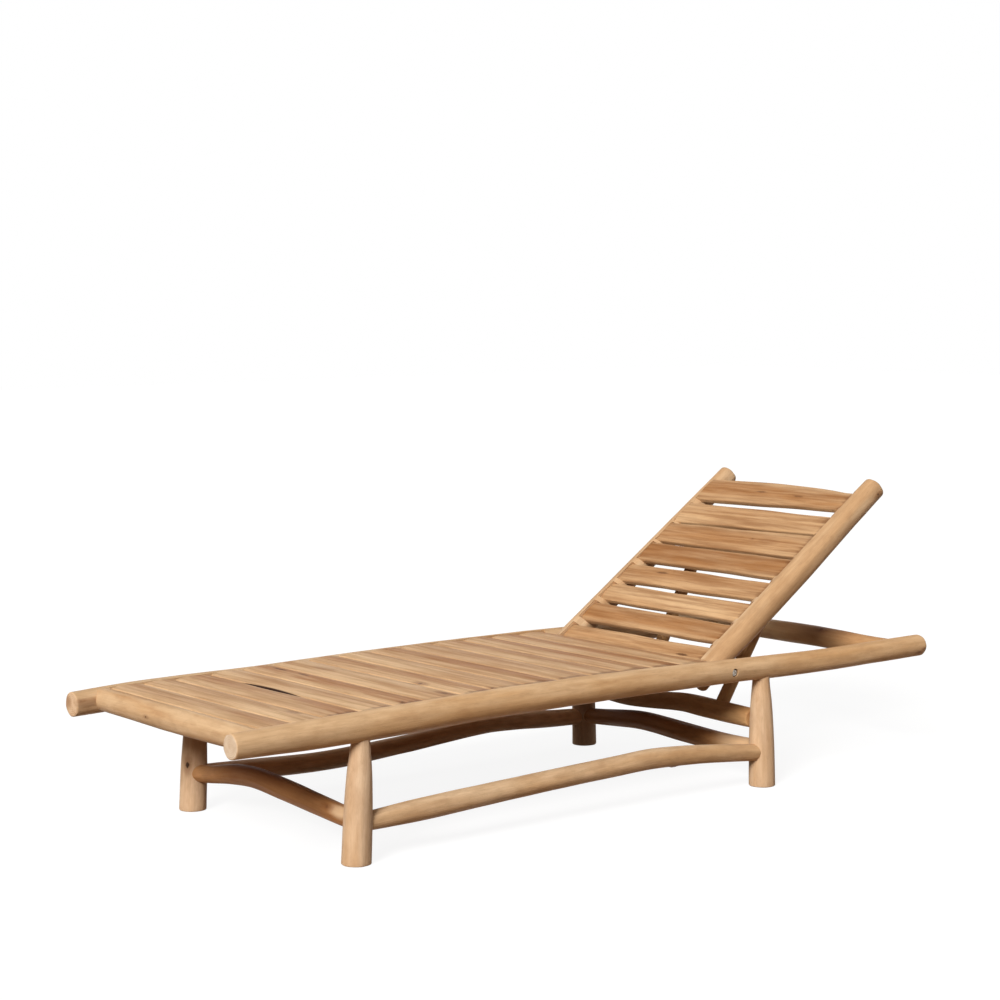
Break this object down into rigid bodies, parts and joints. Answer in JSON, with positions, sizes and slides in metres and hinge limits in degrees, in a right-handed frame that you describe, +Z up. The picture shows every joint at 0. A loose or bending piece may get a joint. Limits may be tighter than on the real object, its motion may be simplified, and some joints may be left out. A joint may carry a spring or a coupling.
{
  "type": "teak chaise longue",
  "caption": "Low teak chaise longue made of round branches, with a slatted seat and a slatted backrest that reclines on a folding prop.",
  "frame": {"origin": "on the floor under the middle of the overall box", "axes": "+X towards the head end, -Y the sitter's left, +Z up"},
  "size_m": [2, 0.6998, 0.6923],
  "materials": {
    "peeled_teak": "smooth peeled branch, satin",
    "sawn_teak": "sanded slat, satin",
    "zinc_steel": "zinc plated"
  },
  "bodies": {
    "frame": {"side_rail_left": "peeled_teak", "side_rail_right": "peeled_teak", "foot_cross_rail": "peeled_teak", "head_cross_rail": "peeled_teak", "leg_foot_left": "peeled_teak", "leg_foot_right": "peeled_teak", "leg_head_left": "peeled_teak", "leg_head_right": "peeled_teak", "stretcher_left": "peeled_teak", "stretcher_right": "peeled_teak", "stretcher_foot": "peeled_teak", "stretcher_head": "peeled_teak", "seat_slat_01": "sawn_teak", "seat_slat_02": "sawn_teak", "seat_slat_03": "sawn_teak", "seat_slat_04": "sawn_teak", "seat_slat_05": "sawn_teak", "seat_slat_06": "sawn_teak", "seat_slat_07": "sawn_teak", "seat_slat_08": "sawn_teak", "seat_slat_09": "sawn_teak", "seat_slat_10": "sawn_teak", "seat_slat_11": "sawn_teak", "seat_slat_12": "sawn_teak", "seat_slat_13": "sawn_teak", "seat_slat_14": "sawn_teak", "hinge_spacer_left": "zinc_steel", "hinge_spacer_right": "zinc_steel"},
    "backrest": {"back_pole_left": "peeled_teak", "back_pole_right": "peeled_teak", "back_slat_01": "sawn_teak", "back_slat_02": "sawn_teak", "back_slat_03": "sawn_teak", "back_slat_04": "sawn_teak", "back_slat_05": "sawn_teak", "back_slat_06": "sawn_teak", "back_slat_07": "sawn_teak", "back_slat_08": "sawn_teak", "back_cross_bar": "peeled_teak", "hinge_bolt_left": "zinc_steel", "hinge_bolt_right": "zinc_steel", "hinge_insert_left": "zinc_steel", "hinge_insert_right": "zinc_steel"},
    "prop": {"prop_bar": "peeled_teak", "prop_stick_left": "peeled_teak", "prop_stick_right": "peeled_teak"}
  },
  "joints": [
    {"name": "backrest_recline", "type": "hinge", "parent": "frame", "child": "backrest", "pos_m": [0.338, 0, 0.2815], "axis": [0, 1, 0], "range_deg": [0, 29.8]},
    {"name": "prop_fold", "type": "hinge", "parent": "frame", "child": "prop", "pos_m": [0.4497, 0, 0.1545], "axis": [0, 1, 0], "range_deg": [0, 72]}
  ],
  "couplings": [
    {"joint": "prop_fold", "follows": "backrest_recline", "ratio": 2.38}
  ]
}
